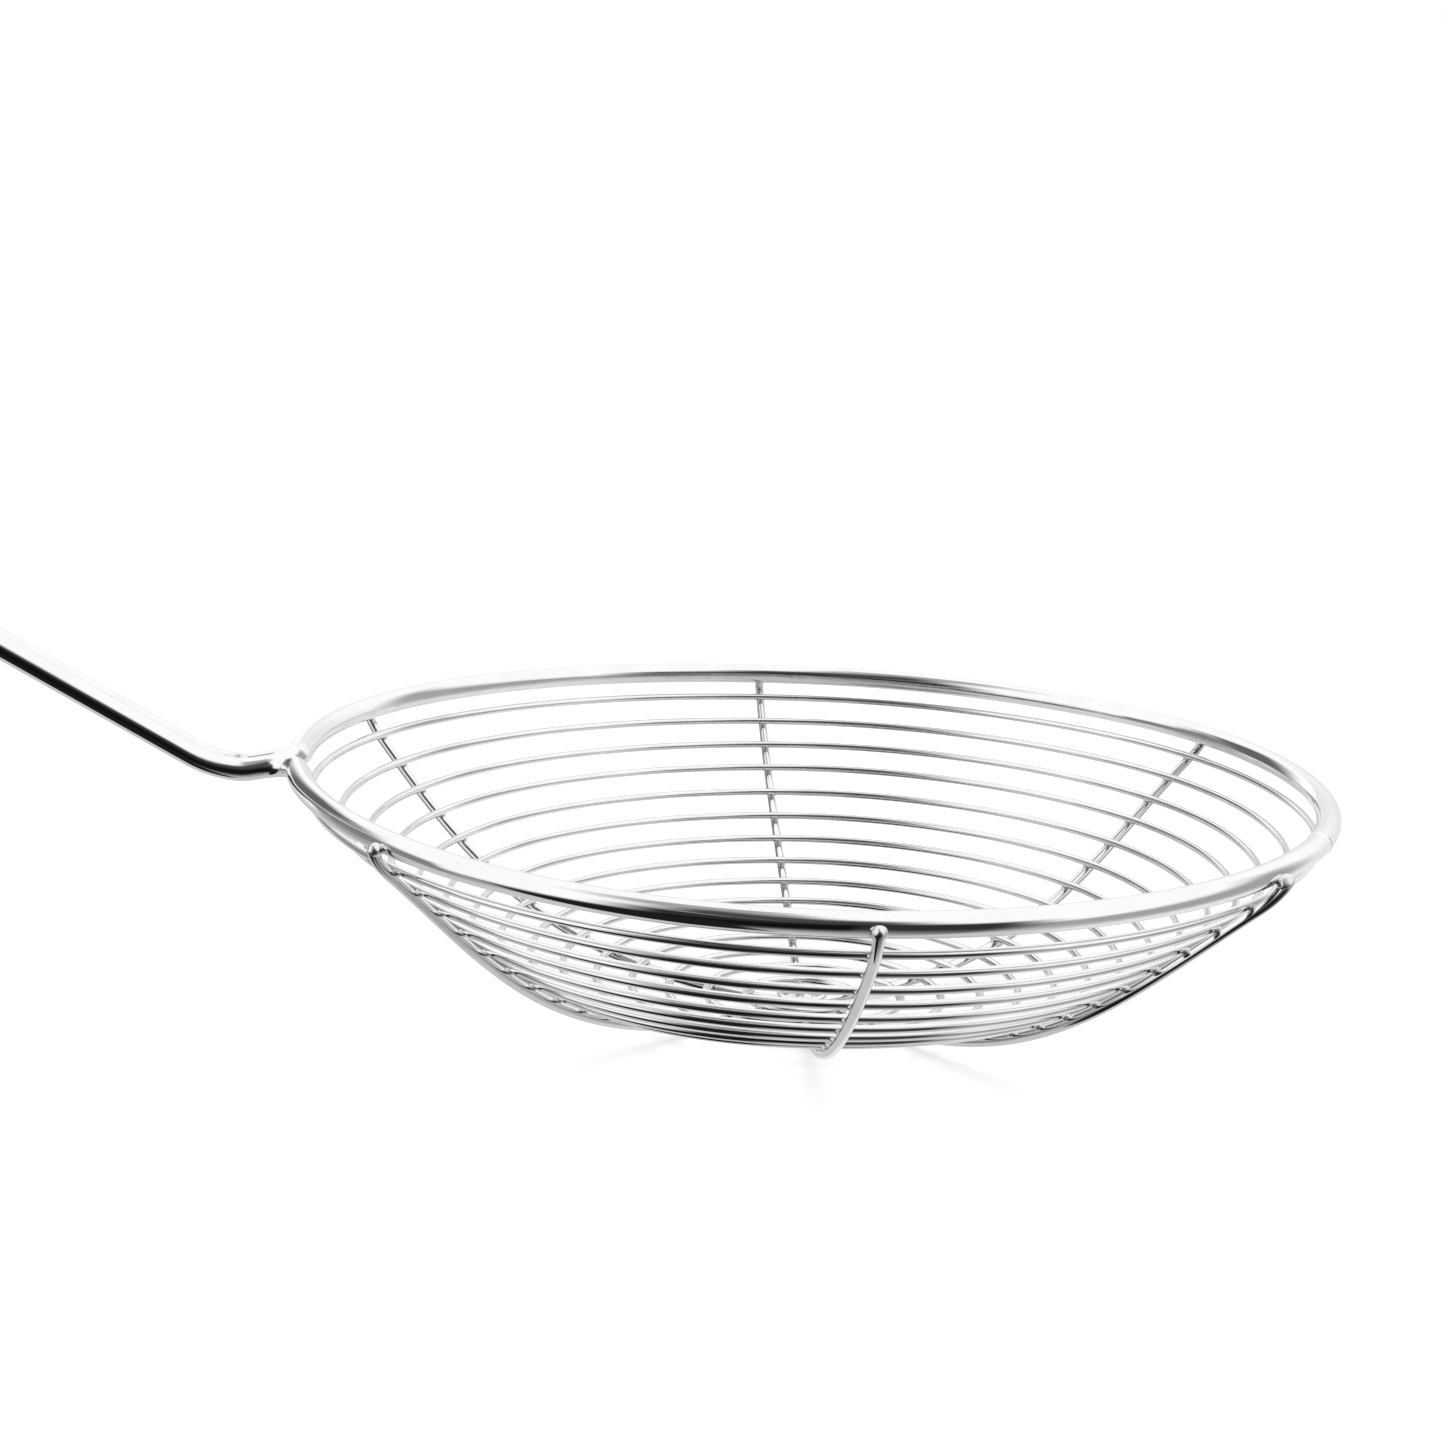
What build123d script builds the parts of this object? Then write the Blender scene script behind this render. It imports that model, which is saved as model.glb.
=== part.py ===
from build123d import *
import os
from math import asin, atan2, cos, degrees, hypot, radians, sin, sqrt, tan

# Spider skimmer of welded wire. A shallow bowl of separate wire rings lies in six ribs,
# and the ribs hang from the rim. One bent rod makes the rim, both legs of the handle
# and the hanging loop at its tip.
# Lengths are in millimetres. The bowl's axis is Z and the handle runs out along -X and
# climbs. The origin is the bowl's lowest point, where it stands on a table.

# Frame rod
ROD_RADIUS = 2.0
LEG_GAP = 0.1                  # light between the two legs of the handle
RIM_RADIUS = 90.0              # to the middle of the rod
THROAT_RADIUS = 5.5            # bend that turns the rim out into a leg
LEVEL_LENGTH = 2.5             # leg in the rim's plane, before the corner
CORNER_RADIUS = 20.0           # bend that lifts the handle
HANDLE_RISE = 30.3             # degrees above the rim's plane
GRIP_LENGTH = 198.0            # straight legs, from the corner to the loop
LOOP_RADIUS = 10.0             # hanging loop, to the middle of the rod
LOOP_THROAT_RADIUS = 16.0      # bend that parts the legs into the loop
TACK_RADIUS = 2.35             # weld bead that ties the legs
TACK_PLACE_SHARE = 0.25        # how far round the corner it sits
BUTT_BEARING = -32.0           # degrees round the rim to the rod's butt weld
BUTT_GROOVE = 0.3              # radius of the groove left round that weld

# Bowl of rings
WIRE_RADIUS = 0.7
RING_INSET = 1.0               # top ring's line inside the rim's line
RING_DROP = 4.8                # top ring's line below the rim's line
BOWL_DEPTH = 36.6              # from the top ring's line to the bottom of the bowl
KNEE_RUN_SHARE = 0.36          # where the flatter bottom meets the rounder wall,
KNEE_RISE_SHARE = 0.104        # as shares of the bowl's radius and of its depth
RING_COUNT = 15                # rings of the bowl, without the one at the hub
CLOSE_COUNT = 3                # gaps under the rim that are set closer
CLOSE_GAP_SHARE = 0.91         # of a regular gap
HUB_GAP_SHARE = 0.86           # gap round the hub ring, of a regular gap
HUB_RING_RADIUS = 3.2

# Ribs
RIB_RADIUS = 0.9
RIB_BEARINGS = (150.0, 88.0, 25.0, -49.0, -94.5, -148.0)
RIB_BEAD_RADIUS = 1.1          # weld bead at a rib's upper end
RIB_BEAD_DROP = 0.9            # that bead's middle below the rim's line
WELD_BITE = 0.05               # how far two welded wires sink into each other

# Worked out from the sizes above
LEG_OFFSET = ROD_RADIUS + LEG_GAP / 2
NEST = WIRE_RADIUS + RIB_RADIUS - WELD_BITE
BOWL_FLOOR = RIB_RADIUS + NEST
BOWL_RADIUS = RIM_RADIUS - RING_INSET
RIM_HEIGHT = BOWL_FLOOR + BOWL_DEPTH + RING_DROP
BEAD_DISTANCE = ROD_RADIUS + RIB_BEAD_RADIUS - WELD_BITE
BEAD_REACH = sqrt(BEAD_DISTANCE ** 2 - RIB_BEAD_DROP ** 2)
NEXT_BEARINGS = RIB_BEARINGS[1:] + RIB_BEARINGS[:1]
RIB_SPACING = min((one - other) % 360 for one, other in zip(RIB_BEARINGS, NEXT_BEARINGS))
RIB_END_RADIUS = RIB_RADIUS / tan(radians(RIB_SPACING / 2))

# The bowl's line is two tangent arcs, the flatter one about the axis
KNEE_RUN = BOWL_RADIUS * KNEE_RUN_SHARE
KNEE_RISE = BOWL_DEPTH * KNEE_RISE_SHARE
WALL_RUN = BOWL_RADIUS - KNEE_RUN
WALL_RISE = BOWL_DEPTH - KNEE_RISE
KNEE_SLOPE = 2 * atan2(KNEE_RISE, KNEE_RUN)
WALL_TURN = 2 * (atan2(WALL_RISE, WALL_RUN) - KNEE_SLOPE)
FLOOR_ARC_RADIUS = hypot(KNEE_RUN, KNEE_RISE) / (2 * sin(KNEE_SLOPE / 2))
WALL_ARC_RADIUS = hypot(WALL_RUN, WALL_RISE) / (2 * sin(WALL_TURN / 2))
FLOOR_ARC_LENGTH = FLOOR_ARC_RADIUS * KNEE_SLOPE
WALL_ARC_LENGTH = WALL_ARC_RADIUS * WALL_TURN
FLOOR_CENTRE = Vector(0, BOWL_FLOOR + FLOOR_ARC_RADIUS)
KNEE_OUTWARD = Vector(sin(KNEE_SLOPE), -cos(KNEE_SLOPE))
WALL_CENTRE = FLOOR_CENTRE + (FLOOR_ARC_RADIUS - WALL_ARC_RADIUS) * KNEE_OUTWARD


def slope_at(distance):
    """Slope of the bowl's line, at a distance along it from the axis."""
    if distance < FLOOR_ARC_LENGTH:
        return distance / FLOOR_ARC_RADIUS
    return KNEE_SLOPE + (distance - FLOOR_ARC_LENGTH) / WALL_ARC_RADIUS


def bowl_point(slope):
    """Point of the bowl's line with that slope, as radius and height."""
    outward = Vector(sin(slope), -cos(slope))
    if slope < KNEE_SLOPE:
        return FLOOR_CENTRE + FLOOR_ARC_RADIUS * outward
    return WALL_CENTRE + WALL_ARC_RADIUS * outward


def ring_slopes():
    """Slopes of the bowl's line at its rings, from the top ring to the innermost."""
    hub = FLOOR_ARC_RADIUS * asin(HUB_RING_RADIUS / FLOOR_ARC_RADIUS)
    top = FLOOR_ARC_LENGTH + WALL_ARC_LENGTH
    regular = RING_COUNT - 1 - CLOSE_COUNT
    gap = (top - hub) / (regular + CLOSE_COUNT * CLOSE_GAP_SHARE + HUB_GAP_SHARE)
    slopes = []
    for number in range(RING_COUNT):
        close = min(number, CLOSE_COUNT)
        gaps = close * CLOSE_GAP_SHARE + number - close
        slopes.append(slope_at(top - gaps * gap))
    return slopes


def wire_ring(radius, height):
    """A closed ring of the bowl's wire."""
    return Pos(0, 0, height) * Torus(radius, WIRE_RADIUS)


def rod_along(path, radius):
    """Round rod whose middle follows a path."""
    section = Plane(origin=path @ 0, z_dir=path % 0) * Circle(radius)
    return sweep(section, path=path)


def rib(bearing):
    """Rib from the hub, under the rings and up the outside of the rim, with its weld bead."""
    floor_radius = FLOOR_ARC_RADIUS + NEST
    wall_radius = WALL_ARC_RADIUS + NEST
    end_slope = degrees(asin(RIB_END_RADIUS / floor_radius))
    floor_turn = degrees(KNEE_SLOPE) - end_slope
    floor = CenterArc(FLOOR_CENTRE, floor_radius, end_slope - 90, floor_turn)
    wall = CenterArc(WALL_CENTRE, wall_radius, degrees(KNEE_SLOPE) - 90, degrees(WALL_TURN))
    weld = Vector(RIM_RADIUS + BEAD_REACH, RIM_HEIGHT - RIB_BEAD_DROP)
    lift = TangentArc(wall @ 1, weld, tangent=wall % 1)
    path = Plane.XZ * Wire([floor, wall, lift])
    bead = Plane.XZ * Pos(weld) * Sphere(RIB_BEAD_RADIUS)
    return Rot(0, 0, bearing) * (rod_along(path, RIB_RADIUS) + bead)


def eye(radius, throat):
    """Half of a round eye, from its far side to where its throat ends in a leg along -X."""
    closing = degrees(asin((LEG_OFFSET + throat) / (radius + throat)))
    bow = CenterArc((0, 0), radius, 0, 180 - closing)
    turn = JernArc(bow @ 1, bow % 1, throat, closing - 90)
    return [bow, turn]


def throat_reach(radius, throat):
    """Distance from the middle of an eye to where its throat ends."""
    return sqrt((radius + throat) ** 2 - (LEG_OFFSET + throat) ** 2)


def frame_rod():
    """Rim, two legs and hanging loop, bent from one rod and closed by a butt weld."""
    rise = radians(HANDLE_RISE)
    heading = Vector(-cos(rise), 0, sin(rise))
    rim_plane = Plane((0, 0, RIM_HEIGHT))
    rim = [rim_plane * edge for edge in eye(RIM_RADIUS, THROAT_RADIUS)]
    level = Line(rim[-1] @ 1, rim[-1] @ 1 - Vector(LEVEL_LENGTH, 0, 0))
    corner_plane = Plane(level @ 1, x_dir=(-1, 0, 0), z_dir=(0, 1, 0))
    corner = corner_plane * CenterArc((0, CORNER_RADIUS), CORNER_RADIUS, -90, HANDLE_RISE)
    grip = Line(corner @ 1, corner @ 1 + GRIP_LENGTH * heading)
    grip_end = Vector((grip @ 1).X, 0, (grip @ 1).Z)
    middle = grip_end + throat_reach(LOOP_RADIUS, LOOP_THROAT_RADIUS) * heading
    loop_plane = Plane(middle, x_dir=heading, z_dir=heading.cross(Vector(0, 1, 0)))
    loop = [loop_plane * edge for edge in eye(LOOP_RADIUS, LOOP_THROAT_RADIUS)]
    half = rod_along(Wire(rim + [level, corner, grip] + loop), ROD_RADIUS)
    rod = half + mirror(half, Plane.XZ)
    tie = corner @ TACK_PLACE_SHARE
    tack = Pos(tie.X, 0, tie.Z) * Sphere(TACK_RADIUS)
    groove = Torus(ROD_RADIUS, BUTT_GROOVE)
    butt = Rot(0, 0, BUTT_BEARING) * Pos(RIM_RADIUS, 0, RIM_HEIGHT) * Rot(90, 0, 0) * groove
    return rod + tack - butt


def save(part, name):
    """One file for each piece."""
    export_step(part, os.path.join("parts", name + ".step"))


os.makedirs("parts", exist_ok=True)
save(frame_rod(), "frame_rod")
for number, bearing in enumerate(RIB_BEARINGS, start=1):
    save(rib(bearing), f"rib_{number}")
for number, slope in enumerate(ring_slopes(), start=1):
    place = bowl_point(slope)
    save(wire_ring(place.X, place.Y), f"bowl_ring_{number:02d}")
hub = bowl_point(asin(HUB_RING_RADIUS / FLOOR_ARC_RADIUS))
save(wire_ring(hub.X, hub.Y), "hub_ring")
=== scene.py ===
from math import asin, atan2, ceil, cos, exp, hypot, pi, radians, sin, sqrt, tanh

import bmesh
import bpy
from mathutils import Matrix, Vector, noise


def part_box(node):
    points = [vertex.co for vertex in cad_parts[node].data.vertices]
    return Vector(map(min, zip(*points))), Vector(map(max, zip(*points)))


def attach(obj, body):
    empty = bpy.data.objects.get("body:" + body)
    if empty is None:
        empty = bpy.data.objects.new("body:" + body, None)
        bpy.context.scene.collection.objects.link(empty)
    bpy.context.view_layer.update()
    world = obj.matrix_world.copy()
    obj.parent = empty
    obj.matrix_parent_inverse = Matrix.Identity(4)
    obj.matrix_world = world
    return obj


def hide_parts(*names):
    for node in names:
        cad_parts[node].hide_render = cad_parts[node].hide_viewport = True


# Spider skimmer of welded steel wire. Every piece is drawn again over its CAD node with
# its welds, joints and slight unevenness, and gets its polished or drawn finish.
# Lengths are in metres, in the part's own frame: the bowl's axis is Z, the handle runs
# out along -X and climbs, and the floor is at zero.

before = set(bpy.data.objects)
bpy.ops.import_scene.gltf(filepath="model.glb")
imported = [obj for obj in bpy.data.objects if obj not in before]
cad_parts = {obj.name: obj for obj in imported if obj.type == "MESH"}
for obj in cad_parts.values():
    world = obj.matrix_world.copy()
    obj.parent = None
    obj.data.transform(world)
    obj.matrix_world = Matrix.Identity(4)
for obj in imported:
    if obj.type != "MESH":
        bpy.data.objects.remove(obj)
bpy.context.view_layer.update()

LUMP_SEED = 7                  # keeps the lumps and waves the same in every run
noise.seed_set(LUMP_SEED)

# Frame rod
ROD_RADIUS = 0.002
LEG_OFFSET = 0.00205           # a leg's middle from the handle's middle plane
RIM_RADIUS = 0.090
THROAT_RADIUS = 0.0055         # bend that turns the rim out into a leg
LEVEL_LENGTH = 0.0025
CORNER_RADIUS = 0.020
HANDLE_RISE = radians(30.3)
GRIP_LENGTH = 0.198
LOOP_RADIUS = 0.010
LOOP_THROAT_RADIUS = 0.016
TACK_PLACE_SHARE = 0.25        # how far round the corner the legs' tack weld sits
BUTT_BEARING = radians(-32)    # where the rod's two ends meet on the rim
BUTT_LENGTH = 0.003            # rod drawn more finely each side of that weld
BUTT_WIDTH = 0.0008
BUTT_SWELL = 0.11              # shares of the rod's radius
BUTT_GROOVE = 0.09
TACK_SIZE = (0.0034, 0.0016, 0.0023)
TACK_LUMPS = 0.16              # share of its size

# Bowl of rings
RING_NODES = [f"bowl_ring_{number:02d}" for number in range(1, 16)]
WIRE_RADIUS = 0.0007
RING_DROP = 0.0048
KNEE_RUN_SHARE = 0.36          # where the flatter bottom meets the rounder wall,
KNEE_RISE_SHARE = 0.104        # as shares of the bowl's radius and depth
JOINT_BEARING = 172            # degrees round a ring to its butt weld, give or take
JOINT_SPREAD = 9
JOINT_LENGTH = 0.0015          # wire drawn more finely each side of that weld
JOINT_WIDTH = 0.0004
JOINT_SWELL = 0.2              # shares of the wire's radius
JOINT_GROOVE = 0.1

# Ribs: each one's bearing, and how far round it lies off that at the hub, halfway and at the
# rim, in degrees
RIBS = (
    (150, 8, 1, -2.3),
    (88, -5, -2, -0.3),
    (25, -3, 0, -0.8),
    (-49, 0, -5, 1.5),
    (-94.5, -1, 0, 1),
    (-148, -0.5, 1.8, 2.5),
)
RIB_RADIUS = 0.0009
RIB_BEAD_RADIUS = 0.0011
RIB_BEAD_DROP = 0.0005         # bead's middle below the rim's line
RIM_BEAD_SIZE = (0.00112, 0.00122, 0.00125)
RIM_BEAD_SINK = 0.00025        # how far the bead is sunk toward the rim
RIM_BEAD_LUMPS = 0.00008
CROSSING_BEAD_RADIUS = 0.00082  # bead where a ring crosses a rib
CROSSING_BEAD_LUMPS = 0.12     # share of its radius
WELD_BITE = 0.00005
RIB_START = 0.00215            # a rib's inner end from the bowl's axis

# How far from a weld the steel is tinted by its heat
ROD_HEAT = 0.0022
TACK_HEAT = 0.0040
WIRE_HEAT = 0.0010
CROSSING_HEAT = 0.0012
RIM_BEAD_HEAT = 0.0016

# How finely the rods are drawn
ROD_SIDES = 32
ROD_STEP = 0.0016
THROAT_STEP = 0.0010
FINE_STEP = 0.00025
WIRE_SIDES = 20
WIRE_STEP = 0.0012

# How the hand-made bowl strays from its true shape, in millimetres. A row is a number of lobes
# round the bowl, as a cosine or a sine part, and its numbers go with the rise from hub to rim,
# that rise squared and that rise cubed.
OUTWARD = (
    (0, cos, 12.2, -32.0, 19.6),
    (1, cos, 4.8, -8.8, 4.0),
    (1, sin, -4.9, 10.9, -5.4),
    (2, cos, 18.0, -47.8, 29.9),
    (2, sin, -0.4, 2.6, -2.2),
    (3, cos, -0.3, 4.2, -3.9),
    (3, sin, -2.4, 5.2, -2.3),
)
LIFT = (
    (0, cos, -7.4, 18.3, -10.6),
    (1, cos, -2.8, 9.1, -6.7),
    (1, sin, 5.1, -14.8, 10.0),
    (2, cos, -3.1, 10.0, -6.6),
    (2, sin, -1.6, 7.0, -5.7),
    (3, cos, -0.5, 0.6, -0.3),
    (3, sin, 2.9, -8.4, 5.5),
)
MILLIMETRE = 0.001
WAVE = 0.00010                 # fine waviness of the wires
THROAT_START = 0.0905          # from here out the legs come back to true
THROAT_END = 0.1000

# Camera, fitted to the photograph
SENSOR_WIDTH = 36.0
LENS = 58.99
CAMERA_PLACE = Vector((-0.070971, -0.402499, 0.140375))
CAMERA_RIGHT = Vector((0.991237, -0.125775, 0.040371))
CAMERA_UP = Vector((-0.012594, 0.214243, 0.976703))

# What the polished steel sees round it, all else white. Bearing is from the camera's side, +90
# along +X: left, right, low, high, lean, soft sides, soft foot, soft top, all in degrees apart
# from the lean, and brightness.
CARDS = (
    (-180, 180, -90, -18, 0, 5, 5, 20, 0.60),
    (-100, -42, -20, -13, 0.05, 5, 30, 4, 0.32),
    (105, 178, -49, -2, 0.28, 27, 13, 27, 0.84),
    (41, 105, -24, -2, 0.6, 20, 30, 20, 0.39),
    (-133, -116, -35, 23, 0.1, 4, 4, 5, 0.41),
    (-151, -138, 1, 26, 0.2, 20, 7, 9, 0.13),
    (-126, -93, -6, 11, -0.6, 4, 24, 15, 0.23),
    (-104, -18, 64, 81, -0.34, 22, 23, 22, 0.4),
    (-34, 4, 22, 42, -0.4, 22, 4, 24, 0.067),
    (-39, 29, -16, 13, -0.2, 20, 80, 20, 0.03),
    (-66, -2, -37, -16, 0.48, 4, 38, 20, 0.006),
    (-78, -30, -72, -24, 0, 6, 14, 12, 0.012),
)
WHITE = 1.05                   # the studio's white, as the metal sees it

FLOOR_REACH = 6.0
TABLE_GLOW = 0.45              # light from behind the table, seen by the camera alone
LAMP_POWER = 4.0
LAMP_SIZE = 1.2
LAMP_PLACE = (0.0, 0.2, 1.6)

ACROSS = Vector((0, 1, 0))
UP = Vector((0, 0, 1))


def node_ring(node):
    """Radius and height of a ring's middle line, from its CAD node."""
    low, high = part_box(node)
    return (high.x - low.x) / 2 - WIRE_RADIUS, (high.z + low.z) / 2


# The bowl's line is two tangent arcs, the flatter one about the axis
RINGS = [node_ring(node) for node in RING_NODES]
HUB_RING = node_ring("hub_ring")
NEST = WIRE_RADIUS + RIB_RADIUS - WELD_BITE
BOWL_FLOOR = RIB_RADIUS + NEST
BOWL_RADIUS, TOP_HEIGHT = RINGS[0]
BOWL_DEPTH = TOP_HEIGHT - BOWL_FLOOR
RIM_HEIGHT = TOP_HEIGHT + RING_DROP
KNEE_RUN = BOWL_RADIUS * KNEE_RUN_SHARE
KNEE_RISE = BOWL_DEPTH * KNEE_RISE_SHARE
KNEE_SLOPE = 2 * atan2(KNEE_RISE, KNEE_RUN)
WALL_RUN = BOWL_RADIUS - KNEE_RUN
WALL_RISE = BOWL_DEPTH - KNEE_RISE
WALL_TURN = 2 * (atan2(WALL_RISE, WALL_RUN) - KNEE_SLOPE)
FLOOR_ARC_RADIUS = hypot(KNEE_RUN, KNEE_RISE) / (2 * sin(KNEE_SLOPE / 2))
WALL_ARC_RADIUS = hypot(WALL_RUN, WALL_RISE) / (2 * sin(WALL_TURN / 2))
FLOOR_CENTRE = Vector((0, 0, BOWL_FLOOR + FLOOR_ARC_RADIUS))
KNEE_OUTWARD = Vector((sin(KNEE_SLOPE), 0, -cos(KNEE_SLOPE)))
WALL_CENTRE = FLOOR_CENTRE + (FLOOR_ARC_RADIUS - WALL_ARC_RADIUS) * KNEE_OUTWARD

# A rib's weld bead sits low on the outside of the rim
BEAD_DISTANCE = ROD_RADIUS + RIB_BEAD_RADIUS - WELD_BITE
BEAD_REACH = sqrt(BEAD_DISTANCE ** 2 - RIB_BEAD_DROP ** 2)
BEAD = Vector((RIM_RADIUS + BEAD_REACH, 0, RIM_HEIGHT - RIB_BEAD_DROP))


def bearing_turn(bearing):
    return Matrix.Rotation(bearing, 4, "Z")


class Rod:
    """A round rod or wire, drawn out from its first section by runs and bends.

    Its place attribute holds how far along a point is, and where it is round the section.
    """

    def __init__(self, radius, sides, step, start, heading):
        self.mesh = bmesh.new()
        self.place = self.mesh.verts.layers.float_vector.new("place")
        self.radius = radius
        self.sides = sides
        self.step = step
        self.tip = start.copy()
        self.heading = heading.normalized()
        self.along = 0.0
        turn = self.heading.to_track_quat("Z", "Y").to_matrix().to_4x4()
        section = bmesh.ops.create_circle(self.mesh, segments=sides, radius=radius, cap_ends=False,
                                          matrix=Matrix.Translation(start) @ turn)
        for vert in section["verts"]:
            local = turn.inverted() @ (vert.co - start)
            vert[self.place] = Vector((0.0, local.x, local.y))
        self.first = list(self.mesh.edges)
        self.last = list(self.mesh.edges)

    def draw(self, length, step, **way):
        """Draw the last section out by a spin, and mark how far along each new one is."""
        steps = max(1, ceil(length / (step or self.step)))
        if "shift" in way:
            way["dvec"] = way.pop("shift") * (length / steps)
        done = len(self.mesh.verts)
        drawn = bmesh.ops.spin(self.mesh, geom=self.last, steps=steps, use_merge=False, **way)
        self.last = [item for item in drawn["geom_last"] if isinstance(item, bmesh.types.BMEdge)]
        for number, vert in enumerate(list(self.mesh.verts)[done:]):
            sections = number // self.sides + 1
            vert[self.place].x = self.along + length * sections / steps
        self.along += length

    def bend(self, centre, axis, angle, step=None):
        """Bend about an axis through a centre."""
        arm = self.tip - centre
        arm -= arm.project(axis)
        self.draw(abs(angle) * arm.length, step, cent=centre, axis=axis, angle=angle)
        turn = Matrix.Rotation(angle, 3, axis)
        self.tip = centre + turn @ (self.tip - centre)
        self.heading = turn @ self.heading

    def run(self, length):
        """Run straight on."""
        self.draw(length, None, cent=self.tip, axis=self.heading, angle=0.0, shift=self.heading)
        self.tip += self.heading * length

    def round_end(self, edges, middle, heading, rings=5):
        """Close an end with a dome."""
        reach = 0.0
        size = 1.0
        for number in range(1, rings + 1):
            angle = pi / 2 * number / rings
            drawn = bmesh.ops.extrude_edge_only(self.mesh, edges=edges)["geom"]
            verts = [item for item in drawn if isinstance(item, bmesh.types.BMVert)]
            edges = [item for item in drawn if isinstance(item, bmesh.types.BMEdge)]
            onward = self.radius * sin(angle) - reach
            reach += onward
            bmesh.ops.translate(self.mesh, verts=verts, vec=heading * onward)
            top = middle + heading * reach
            if number == rings:
                bmesh.ops.pointmerge(self.mesh, verts=verts, merge_co=top)
                return
            shrink = Vector((1, 1, 1)) * cos(angle) / size
            bmesh.ops.scale(self.mesh, verts=verts, vec=shrink, space=Matrix.Translation(-top))
            size = cos(angle)

    def join_ends(self):
        """Weld the last section to the first one."""
        ends = list({vert for edge in self.first + self.last for vert in edge.verts})
        bmesh.ops.remove_doubles(self.mesh, verts=ends, dist=self.radius / 50)


def swell(mesh, radius, height, bearing, width, growth, groove):
    """Thicken a rod that runs round the axis where it is butt-welded, with a fine groove there."""
    for vert in mesh.verts:
        turned = atan2(vert.co.y, vert.co.x) - bearing
        away = abs(atan2(sin(turned), cos(turned))) * radius
        if away < 4 * width and hypot(vert.co.x, vert.co.y) < radius * 1.1:
            middle = Vector((vert.co.x, vert.co.y, 0)).normalized() * radius
            middle.z = height
            lump = 0.6 + 0.8 * noise.noise(vert.co * 900)
            grown = growth * lump * exp(-((away / width) ** 2))
            grown -= groove * exp(-((away / width * 4) ** 2))
            vert.co = middle + (vert.co - middle) * (1 + grown)


def rise_share(point):
    """How far up the bowl a point is, from 0 at the hub to 1 at the rim."""
    run_share = hypot(point.x, point.y) / RIM_RADIUS
    height_share = (point.z - BOWL_FLOOR) / (RIM_HEIGHT - BOWL_FLOOR)
    return (run_share + height_share) / 2


def stray_length(lobes, bearing, rise):
    """Sum of the lobes at a bearing and rise."""
    total = 0.0
    for count, wave, first, second, third in lobes:
        total += wave(count * bearing) * rise * (first + rise * (second + rise * third))
    return total * MILLIMETRE


def strayed(point):
    """Where a point of the true bowl, or of the rim, lies in the hand-made one."""
    rise = min(max(rise_share(point), 0.0), 1.0)
    reach = hypot(point.x, point.y)
    bearing = atan2(point.y, point.x)
    outward = stray_length(OUTWARD, bearing, rise)
    lift = stray_length(LIFT, bearing, rise)
    clear = max(reach * reach / (2 * FLOOR_ARC_RADIUS), 1e-9)
    if lift < 0:
        lift = -clear * tanh(-lift / clear)
    away = min(max((reach - THROAT_START) / (THROAT_END - THROAT_START), 0.0), 1.0)
    held = 1 - away * away * (3 - 2 * away)
    wave = noise.noise_vector(point * 22) * (WAVE * min(1.0, rise * 4))
    reach += outward
    moved = Vector((reach * cos(bearing), reach * sin(bearing), point.z + lift)) + wave
    return point + (moved - point) * held


def settle(mesh):
    """Move a piece as the hand-made bowl strays."""
    for vert in mesh.verts:
        vert.co = strayed(vert.co)


def leant(point, rib):
    """Turn a point of a true rib in the XZ plane round to where the rib lies."""
    bearing, at_hub, halfway, at_rim = rib
    rise = rise_share(point)
    lean = at_hub * (0.5 - rise) * (1 - rise) * 2 + halfway * rise * (1 - rise) * 4
    lean += at_rim * rise * (rise - 0.5) * 2
    return bearing_turn(radians(bearing + lean)) @ point


def weld_spot(radius, height, rib):
    """Where a ring lies on a rib."""
    centre = FLOOR_CENTRE if radius < KNEE_RUN else WALL_CENTRE
    line = Vector((radius, 0, height))
    return leant(line + (line - centre).normalized() * WIRE_RADIUS, rib)


def rim_spot(rib):
    """Where a rib's bead lies on the rim."""
    outward = (BEAD - Vector((RIM_RADIUS, 0, RIM_HEIGHT))).normalized()
    return leant(BEAD - outward * RIB_BEAD_RADIUS, rib)


def warm(mesh, spots, reach):
    """Mark on the mesh how near each point lies to a weld, from 0 to 1."""
    heat = mesh.verts.layers.float.new("heat")
    for vert in mesh.verts:
        nearest = min((vert.co - spot).length_squared for spot in spots)
        vert[heat] = exp(-nearest / reach ** 2)


def piece(mesh, name, material, slot, *nodes):
    """Make a finished bmesh an object that rides with the part."""
    bmesh.ops.recalc_face_normals(mesh, faces=mesh.faces)
    data = bpy.data.meshes.new(name)
    mesh.to_mesh(data)
    mesh.free()
    data.polygons.foreach_set("use_smooth", [True] * len(data.polygons))
    data.materials.append(material)
    made = bpy.data.objects.new(name, data)
    bpy.context.scene.collection.objects.link(made)
    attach(made, "root")
    if nodes:
        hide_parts(*nodes)
    return made


def throat_angle(radius, throat):
    """Angle that an eye leaves open on each side of its legs."""
    return asin((LEG_OFFSET + throat) / (radius + throat))


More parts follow.
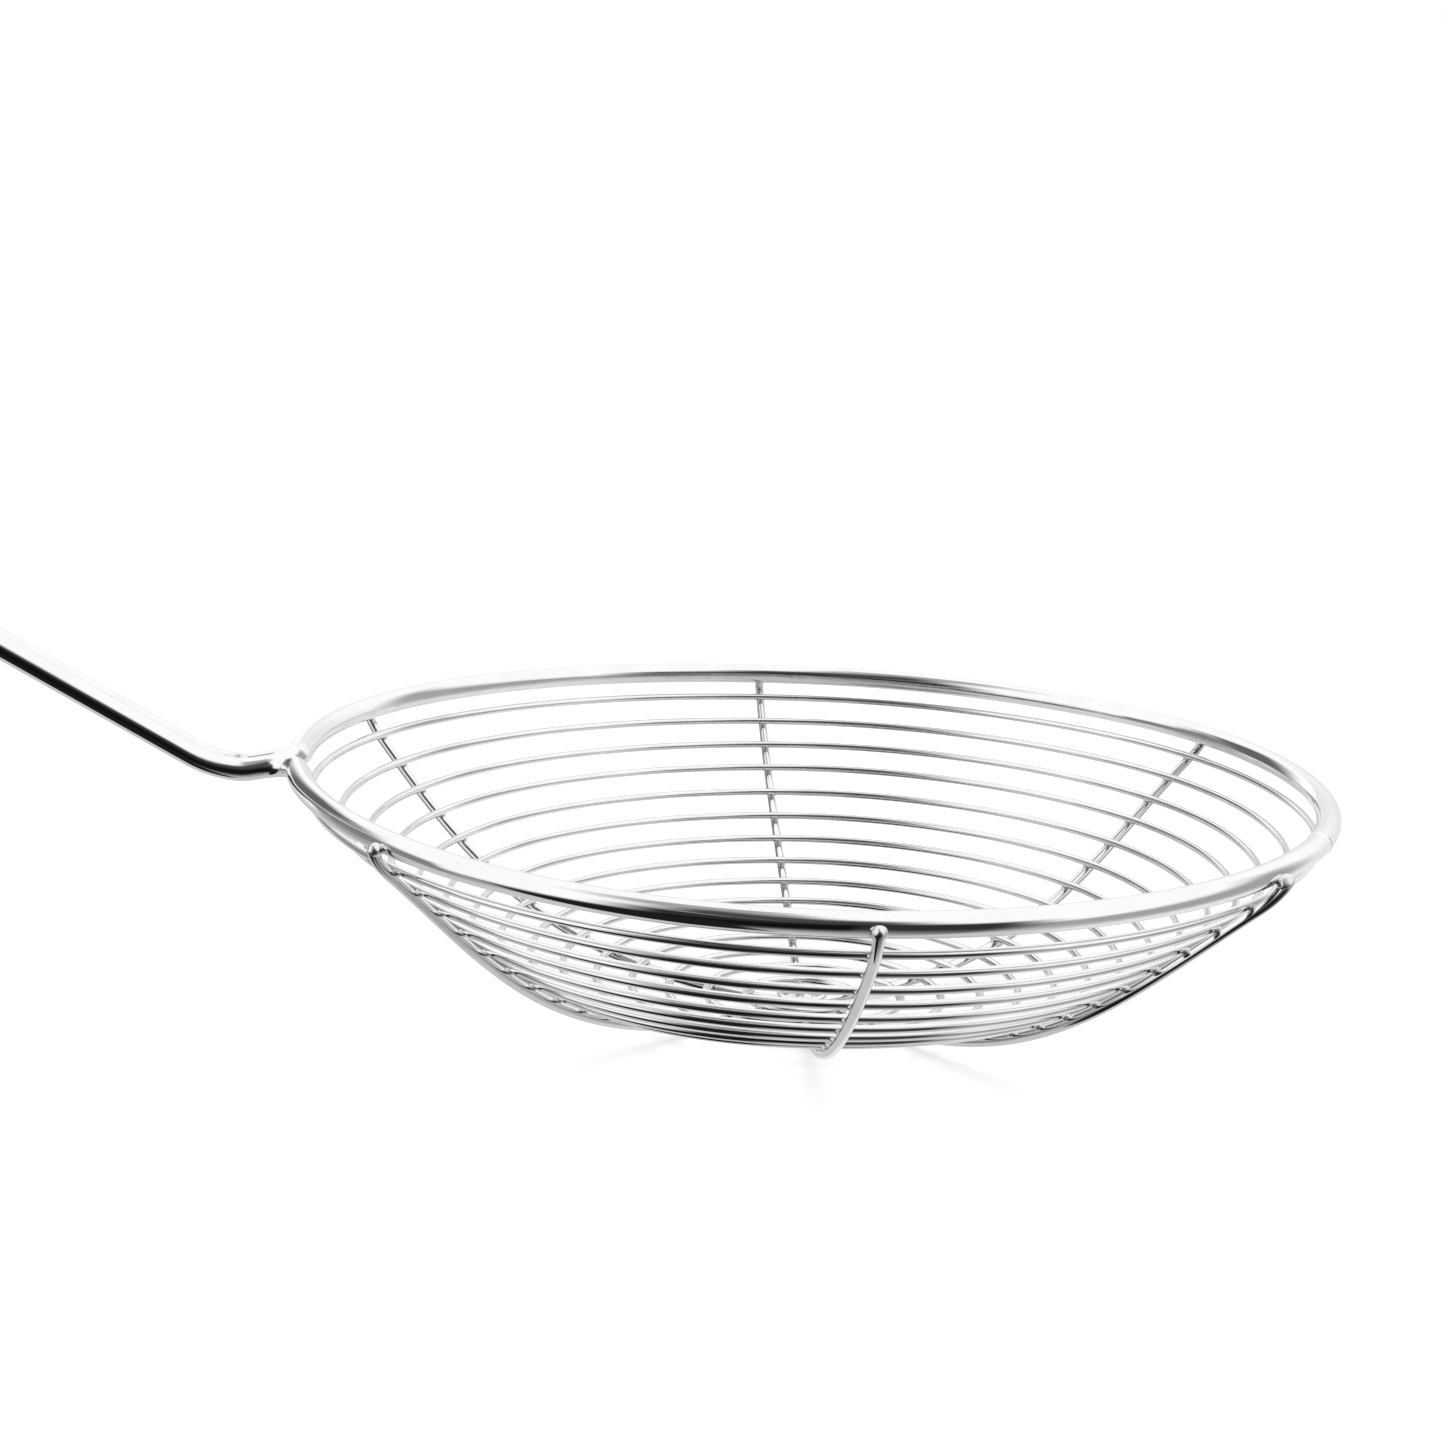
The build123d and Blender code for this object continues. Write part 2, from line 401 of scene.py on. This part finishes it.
def bent_rod():
    """Rim, legs and hanging loop in one rod, from its butt weld round and back to it."""
    start = bearing_turn(BUTT_BEARING) @ Vector((RIM_RADIUS, 0, RIM_HEIGHT))
    rod = Rod(ROD_RADIUS, ROD_SIDES, ROD_STEP, start, bearing_turn(BUTT_BEARING) @ ACROSS)
    middle = Vector((0, 0, RIM_HEIGHT))
    closing = throat_angle(RIM_RADIUS, THROAT_RADIUS)
    weld_turn = BUTT_LENGTH / RIM_RADIUS
    throat = bearing_turn(pi - closing) @ Vector((RIM_RADIUS + THROAT_RADIUS, 0, RIM_HEIGHT))
    rod.bend(middle, UP, weld_turn, FINE_STEP)
    rod.bend(middle, UP, pi - closing - BUTT_BEARING - weld_turn)
    rod.bend(throat, UP, closing - pi / 2, THROAT_STEP)
    rod.run(LEVEL_LENGTH)
    corner = rod.tip + UP * CORNER_RADIUS
    rod.bend(corner, ACROSS, HANDLE_RISE)
    rod.run(GRIP_LENGTH)
    outward = rod.heading.copy()
    normal = outward.cross(ACROSS)
    closing_loop = throat_angle(LOOP_RADIUS, LOOP_THROAT_RADIUS)
    reach = (LOOP_RADIUS + LOOP_THROAT_RADIUS) * cos(closing_loop)
    fork = rod.tip + ACROSS * LOOP_THROAT_RADIUS
    loop = rod.tip - ACROSS * LEG_OFFSET + outward * reach
    rod.bend(fork, normal, pi / 2 - closing_loop, THROAT_STEP)
    rod.bend(loop, normal, -2 * (pi - closing_loop), THROAT_STEP)
    fork.y = -fork.y
    rod.bend(fork, normal, pi / 2 - closing_loop, THROAT_STEP)
    rod.run(GRIP_LENGTH)
    corner.y = -corner.y
    rod.bend(corner, ACROSS, -HANDLE_RISE)
    rod.run(LEVEL_LENGTH)
    throat.y = -throat.y
    rod.bend(throat, UP, closing - pi / 2, THROAT_STEP)
    rod.bend(middle, UP, pi - closing + BUTT_BEARING - weld_turn)
    rod.bend(middle, UP, weld_turn, FINE_STEP)
    rod.join_ends()
    swell(rod.mesh, RIM_RADIUS, RIM_HEIGHT, BUTT_BEARING, BUTT_WIDTH, BUTT_SWELL, BUTT_GROOVE)
    return rod.mesh


def tack_spot():
    """Middle of the tack weld between the legs, a little way round the corner."""
    turned = HANDLE_RISE * TACK_PLACE_SHARE
    reach = sqrt((RIM_RADIUS + THROAT_RADIUS) ** 2 - (LEG_OFFSET + THROAT_RADIUS) ** 2)
    level_end = Vector((-reach - LEVEL_LENGTH, 0, RIM_HEIGHT))
    return level_end + Vector((-sin(turned), 0, 1 - cos(turned))) * CORNER_RADIUS


def tack_bead(spot):
    """Lumpy bead of weld that fills the groove between the legs, above and below."""
    mesh = bmesh.new()
    place = Matrix.Translation(spot) @ Matrix.Diagonal((*TACK_SIZE, 1))
    bmesh.ops.create_icosphere(mesh, subdivisions=4, radius=1, matrix=place)
    for vert in mesh.verts:
        vert.co += (vert.co - spot) * TACK_LUMPS * noise.noise(vert.co * 700)
    return mesh


def rib_wire(rib):
    """Rib from the hub, under the rings and up to its bead low on the rim."""
    floor_radius = FLOOR_ARC_RADIUS + NEST
    start_slope = asin(RIB_START / floor_radius)
    outward = Vector((sin(start_slope), 0, -cos(start_slope)))
    start = FLOOR_CENTRE + floor_radius * outward
    rod = Rod(RIB_RADIUS, WIRE_SIDES, WIRE_STEP, start, Vector((-outward.z, 0, outward.x)))
    first_heading = rod.heading.copy()
    rod.bend(FLOOR_CENTRE, -ACROSS, KNEE_SLOPE - start_slope)
    rod.bend(WALL_CENTRE, -ACROSS, WALL_TURN)
    chord = BEAD - rod.tip
    side = ACROSS.cross(rod.heading)
    lift_radius = chord.length_squared / (2 * chord.dot(side))
    lift_turn = 2 * asin(chord.length / (2 * lift_radius))
    rod.bend(rod.tip + side * lift_radius, ACROSS, lift_turn, FINE_STEP * 2)
    rod.round_end(rod.first, start, -first_heading)
    rod.round_end(rod.last, rod.tip, rod.heading)
    for vert in rod.mesh.verts:
        vert.co = leant(vert.co, rib)
    return rod.mesh


def ring_wire(radius, height, joint_bearing):
    """A closed ring of wire with a small swelling where its ends are butt-welded."""
    turn = bearing_turn(joint_bearing)
    start = turn @ Vector((radius, 0, height))
    rod = Rod(WIRE_RADIUS, WIRE_SIDES, WIRE_STEP, start, turn @ ACROSS)
    middle = Vector((0, 0, height))
    joint_turn = min(JOINT_LENGTH / radius, 0.4)
    rod.bend(middle, UP, joint_turn, FINE_STEP)
    rod.bend(middle, UP, 2 * (pi - joint_turn))
    rod.bend(middle, UP, joint_turn, FINE_STEP)
    rod.join_ends()
    swell(rod.mesh, radius, height, joint_bearing, JOINT_WIDTH, JOINT_SWELL, JOINT_GROOVE)
    return rod.mesh


def weld_beads(spots):
    """Small beads squeezed out where rings are welded to a rib."""
    mesh = bmesh.new()
    for spot in spots:
        bmesh.ops.create_icosphere(mesh, subdivisions=2, radius=CROSSING_BEAD_RADIUS,
                                   matrix=Matrix.Translation(spot))
    lumps = CROSSING_BEAD_RADIUS * CROSSING_BEAD_LUMPS
    for vert in mesh.verts:
        vert.co += noise.noise_vector(vert.co * 1500) * lumps
    return mesh


def rim_bead(rib):
    """Round bead that joins a rib's end to the rim."""
    mesh = bmesh.new()
    middle = BEAD - Vector((RIM_BEAD_SINK, 0, 0))
    place = Matrix.Translation(middle) @ Matrix.Diagonal((*RIM_BEAD_SIZE, 1))
    bmesh.ops.create_icosphere(mesh, subdivisions=4, radius=1, matrix=place)
    own = Vector((rib[0], 0, 0))
    for vert in mesh.verts:
        lump = noise.noise_vector(vert.co * 1100 + own) * RIM_BEAD_LUMPS
        vert.co = leant(vert.co + lump, rib)
    return mesh


class Finish:
    """Builds a material's nodes, each named for what it puts on the steel."""

    def __init__(self, name):
        self.material = bpy.data.materials.new(name)
        self.material.use_nodes = True
        self.tree = self.material.node_tree
        self.shader = self.tree.nodes["Principled BSDF"]

    def node(self, kind, label, links=None, **settings):
        made = self.tree.nodes.new(kind)
        made.label = label
        for key, value in settings.items():
            setattr(made, key, value)
        for socket, value in (links or {}).items():
            if isinstance(value, bpy.types.NodeSocket):
                self.tree.links.new(value, made.inputs[socket])
            else:
                made.inputs[socket].default_value = value
        return made

    def noise(self, label, vector, scale, detail, low, high):
        """Noise, stretched so that low and high become 0 and 1."""
        grain = self.node("ShaderNodeTexNoise", label,
                          {"Vector": vector, "Scale": scale, "Detail": detail})
        spread = {"Value": grain.outputs["Fac"], "From Min": low, "From Max": high}
        return self.node("ShaderNodeMapRange", label + " spread", spread).outputs["Result"]

    def scaled(self, label, value, factor, add=0.0):
        values = {0: value, 1: factor, 2: add}
        return self.node("ShaderNodeMath", label, values, operation="MULTIPLY_ADD").outputs[0]

    def added(self, label, one, other):
        return self.node("ShaderNodeMath", label, {0: one, 1: other}, operation="ADD").outputs[0]

    def mixed(self, label, share, one, other):
        values = {"Factor": share, "A": one, "B": other}
        return self.node("ShaderNodeMix", label, values, data_type="RGBA").outputs["Result"]


def bright_steel(name, colour, shade, polish, dulling, marks):
    """Bright drawn steel: clouded polish, lines drawn along it, fine pits, handling and welds."""
    finish = Finish(name)
    node = finish.node
    where = node("ShaderNodeTexCoord", "where").outputs["Object"]
    place = node("ShaderNodeAttribute", "along the wire", attribute_name="place").outputs["Vector"]
    heat = node("ShaderNodeAttribute", "near a weld", attribute_name="heat").outputs["Fac"]
    stretched = node("ShaderNodeMapping", "drawn out",
                     {"Vector": place, "Scale": (45.0, 5200.0, 5200.0)})
    clouds = finish.noise("clouds in the polish", where, 130.0, 3.0, 0.32, 0.68)
    drawn = finish.noise("drawn lines", stretched.outputs["Vector"], 1.0, 4.0, 0.2, 0.8)
    pits = finish.noise("fine pits", where, 2600.0, 2.0, 0.66, 0.74)
    handled = finish.noise("handling", where, 34.0, 5.0, 0.5, 0.72)
    waves = finish.noise("hand of the roller", place, 210.0, 1.0, 0.0, 1.0)

    toned = finish.mixed("tone", clouds, (*colour, 1), (*(part * shade for part in colour), 1))
    pit_share = finish.scaled("pit share", pits, 0.25)
    pitted = finish.mixed("pits", pit_share, toned, (0.25, 0.24, 0.22, 1))
    weld_share = finish.scaled("weld share", heat, 0.3)
    welded = finish.mixed("weld skin", weld_share, pitted, (0.46, 0.43, 0.40, 1))
    finish.tree.links.new(welded, finish.shader.inputs["Base Color"])

    rough = finish.scaled("polish", clouds, polish[1] - polish[0], polish[0])
    rough = finish.added("with handling", rough, finish.scaled("handled dulling", handled, dulling))
    rough = finish.added("with lines", rough, finish.scaled("line dulling", drawn, dulling / 2))
    rough = finish.added("with welds", rough, finish.scaled("weld dulling", heat, 0.2))
    finish.tree.links.new(rough, finish.shader.inputs["Roughness"])

    lines = finish.scaled("line depth", drawn, marks)
    relief = finish.added("lines and pits", lines, finish.scaled("pit depth", pits, -2e-6))
    relief = finish.added("rolled relief", relief, finish.scaled("wave depth", waves, marks * 12))
    bump = node("ShaderNodeBump", "relief", {"Height": relief, "Distance": 1.0, "Strength": 1.0})
    finish.tree.links.new(bump.outputs["Normal"], finish.shader.inputs["Normal"])
    finish.shader.inputs["Metallic"].default_value = 1.0
    return finish.material


ROD_COLOUR = (0.94, 0.935, 0.925)
WIRE_COLOUR = (0.92, 0.915, 0.905)
WELD_COLOUR = (0.90, 0.89, 0.87)
polished_rod = bright_steel("polished_rod", ROD_COLOUR, 0.96, (0.03, 0.07), 0.05, 4e-7)
rib_steel = bright_steel("bright_rib_wire", WIRE_COLOUR, 0.94, (0.05, 0.12), 0.06, 5e-7)
wire_steel = bright_steel("drawn_ring_wire", WIRE_COLOUR, 0.94, (0.05, 0.12), 0.06, 5e-7)
weld_steel = bright_steel("weld_bead_steel", WELD_COLOUR, 0.92, (0.20, 0.32), 0.08, 5e-7)

rod = bent_rod()
butt = bearing_turn(BUTT_BEARING) @ Vector((RIM_RADIUS, 0, RIM_HEIGHT))
tack = tack_spot()
warm(rod, [rim_spot(rib) for rib in RIBS] + [butt, tack], ROD_HEAT)
settle(rod)
piece(rod, "bent_rod", polished_rod, "frame_steel", "frame_rod")
bead = tack_bead(tack)
warm(bead, [tack], TACK_HEAT)
piece(bead, "leg_tack", weld_steel, "frame_steel")

for number, rib in enumerate(RIBS, start=1):
    spots = [weld_spot(radius, height, rib) for radius, height in RINGS + [HUB_RING]]
    wire = rib_wire(rib)
    warm(wire, spots + [rim_spot(rib)], WIRE_HEAT)
    settle(wire)
    piece(wire, f"rib_wire_{number}", rib_steel, "rib_steel", f"rib_{number}")
    beads = weld_beads(spots)
    warm(beads, spots, CROSSING_HEAT)
    settle(beads)
    piece(beads, f"rib_beads_{number}", weld_steel, "rib_steel")
    bead = rim_bead(rib)
    warm(bead, [rim_spot(rib)], RIM_BEAD_HEAT)
    settle(bead)
    piece(bead, f"rim_bead_{number}", weld_steel, "rib_steel")

for number, (radius, height) in enumerate(RINGS, start=1):
    joint_bearing = radians(JOINT_BEARING + JOINT_SPREAD * sin(2.4 * number))
    ring = ring_wire(radius, height, joint_bearing)
    warm(ring, [weld_spot(radius, height, rib) for rib in RIBS], WIRE_HEAT)
    settle(ring)
    piece(ring, f"ring_wire_{number:02d}", wire_steel, "ring_steel", RING_NODES[number - 1])
hub = ring_wire(*HUB_RING, 0)
warm(hub, [weld_spot(*HUB_RING, rib) for rib in RIBS], WIRE_HEAT)
settle(hub)
piece(hub, "hub_wire", wire_steel, "ring_steel", "hub_ring")


def studio():
    """Studio round the object: white all about, with the dark room seen past the camera."""
    world = bpy.data.worlds.new("studio")
    bpy.context.scene.world = world
    world.use_nodes = True
    nodes = world.node_tree.nodes
    links = world.node_tree.links
    background = nodes["Background"]

    def calculate(operation, *values):
        node = nodes.new("ShaderNodeMath")
        node.operation = operation
        for number, value in enumerate(values):
            if isinstance(value, (int, float)):
                node.inputs[number].default_value = value
            else:
                links.new(value, node.inputs[number])
        return node.outputs[0]

    def ramp(value, start, end):
        node = nodes.new("ShaderNodeMapRange")
        node.interpolation_type = "SMOOTHSTEP"
        links.new(value, node.inputs["Value"])
        node.inputs["From Min"].default_value = start
        node.inputs["From Max"].default_value = end
        return node.outputs["Result"]

    where = nodes.new("ShaderNodeTexCoord")
    split = nodes.new("ShaderNodeSeparateXYZ")
    links.new(where.outputs["Generated"], split.inputs[0])
    toward = calculate("MULTIPLY", split.outputs["Y"], -1.0)
    bearing = calculate("DEGREES", calculate("ARCTAN2", split.outputs["X"], toward))
    height = calculate("DEGREES", calculate("ARCSINE", split.outputs["Z"]))

    light = None
    for left, right, low, high, lean, sides, foot, top, level in CARDS:
        leaning = calculate("MULTIPLY_ADD", bearing, -lean, lean * (left + right) / 2)
        level_height = calculate("ADD", height, leaning)
        inside = ramp(level_height, high + top, high)
        if light:
            inside = calculate("MULTIPLY", inside, ramp(bearing, left - sides, left))
            inside = calculate("MULTIPLY", inside, ramp(bearing, right + sides, right))
            inside = calculate("MULTIPLY", inside, ramp(level_height, low - foot, low))
        mix = nodes.new("ShaderNodeMix")
        links.new(inside, mix.inputs["Factor"])
        mix.inputs["B"].default_value = level
        if light:
            links.new(light, mix.inputs["A"])
        else:
            mix.inputs["A"].default_value = WHITE
        light = mix.outputs["Result"]
    path = nodes.new("ShaderNodeLightPath")
    seen = nodes.new("ShaderNodeMix")
    links.new(path.outputs["Is Camera Ray"], seen.inputs["Factor"])
    links.new(light, seen.inputs["A"])
    seen.inputs["B"].default_value = 1.0
    links.new(seen.outputs["Result"], background.inputs["Strength"])
    background.inputs["Color"].default_value = (1, 1, 1, 1)


def pale_floor():
    """White table that takes the object's shadow. The metal shows the studio in its place."""
    mesh = bmesh.new()
    bmesh.ops.create_grid(mesh, x_segments=1, y_segments=1, size=FLOOR_REACH)
    data = bpy.data.meshes.new("floor")
    mesh.to_mesh(data)
    mesh.free()
    floor = bpy.data.objects.new("floor", data)
    bpy.context.scene.collection.objects.link(floor)
    finish = Finish("pale_table")
    data.materials.append(finish.material)
    finish.tree.nodes.remove(finish.shader)
    node = finish.node
    where = node("ShaderNodeTexCoord", "where").outputs["Object"]
    grain = finish.noise("paper grain", where, 9.0, 4.0, 0.3, 0.7)
    tone = finish.mixed("tone", grain, (0.80, 0.80, 0.80, 1), (0.78, 0.78, 0.78, 1))
    diffuse = node("ShaderNodeBsdfDiffuse", "board", {"Color": tone}).outputs[0]
    glow = node("ShaderNodeEmission", "backlit", {"Strength": TABLE_GLOW}).outputs[0]
    both = node("ShaderNodeAddShader", "lit table", {0: diffuse, 1: glow}).outputs[0]
    path = node("ShaderNodeLightPath", "path")
    clear = node("ShaderNodeBsdfTransparent", "not in the metal").outputs[0]
    camera_ray = path.outputs["Is Camera Ray"]
    seen = node("ShaderNodeMixShader", "seen", {0: camera_ray, 1: diffuse, 2: both}).outputs[0]
    glossy_ray = path.outputs["Is Glossy Ray"]
    table = node("ShaderNodeMixShader", "table", {0: glossy_ray, 1: seen, 2: clear}).outputs[0]
    finish.tree.links.new(table, finish.tree.nodes["Material Output"].inputs["Surface"])


studio()
pale_floor()

lamp_data = bpy.data.lights.new("overhead", "AREA")
lamp_data.energy = LAMP_POWER
lamp_data.size = LAMP_SIZE
lamp = bpy.data.objects.new("overhead", lamp_data)
lamp.location = LAMP_PLACE
lamp.visible_glossy = False
bpy.context.scene.collection.objects.link(lamp)

camera_data = bpy.data.cameras.new("camera")
camera_data.lens = LENS
camera_data.sensor_width = SENSOR_WIDTH
camera_data.sensor_fit = "HORIZONTAL"
camera_data.clip_start = 0.01
camera = bpy.data.objects.new("camera", camera_data)
turn = Matrix((CAMERA_RIGHT, CAMERA_UP, CAMERA_RIGHT.cross(CAMERA_UP))).transposed()
camera.matrix_world = Matrix.Translation(CAMERA_PLACE) @ turn.to_4x4()
bpy.context.scene.collection.objects.link(camera)
bpy.context.scene.camera = camera
bpy.context.scene.view_settings.view_transform = "Standard"
